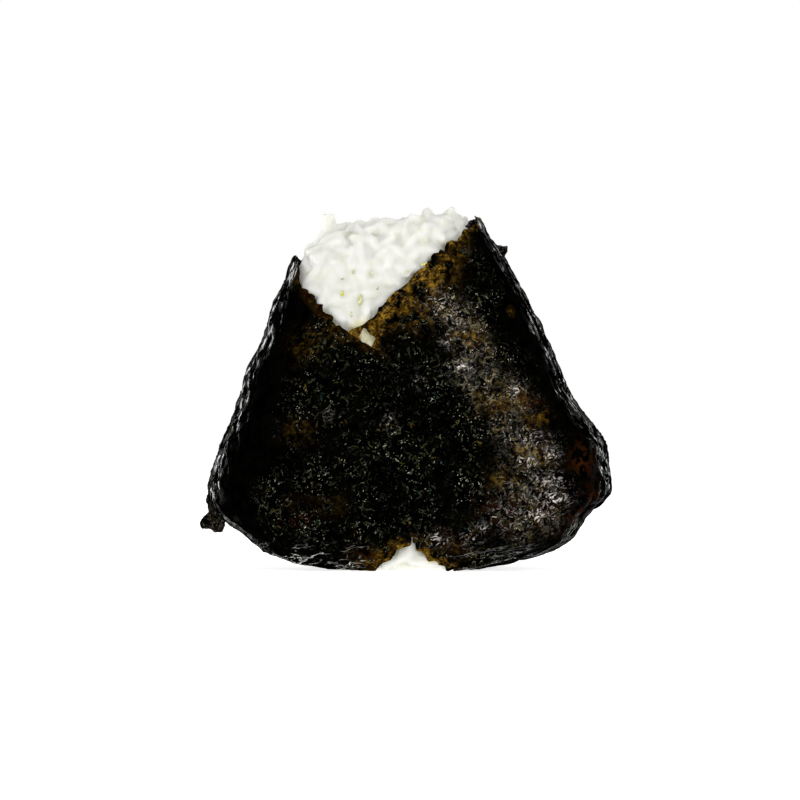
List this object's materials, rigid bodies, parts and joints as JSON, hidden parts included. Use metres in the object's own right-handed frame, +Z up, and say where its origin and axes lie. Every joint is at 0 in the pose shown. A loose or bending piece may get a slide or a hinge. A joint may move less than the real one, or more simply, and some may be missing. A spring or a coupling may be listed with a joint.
{
  "type": "onigiri rice ball",
  "caption": "Hand-pressed triangular rice ball standing upright, wrapped in a folded half sheet of nori with white rice showing at the top and foot.",
  "frame": {"origin": "middle of the flat base, at the middle of the whole box in X and Y", "axes": "+Z up through the narrow top; -Y out of the front, where the two flaps fold over each other; +X to the right seen from the front"},
  "size_m": [0.0894, 0.0368, 0.0784],
  "materials": {
    "cooked_rice": "moist cooked short-grain rice, creamy white, slightly see-through grains",
    "nori_sheet": "toasted laver sheet, green-black with amber-brown thin places, uneven sheen"
  },
  "bodies": {
    "root": {"rice": "cooked_rice", "nori": "nori_sheet"}
  },
  "joints": []
}
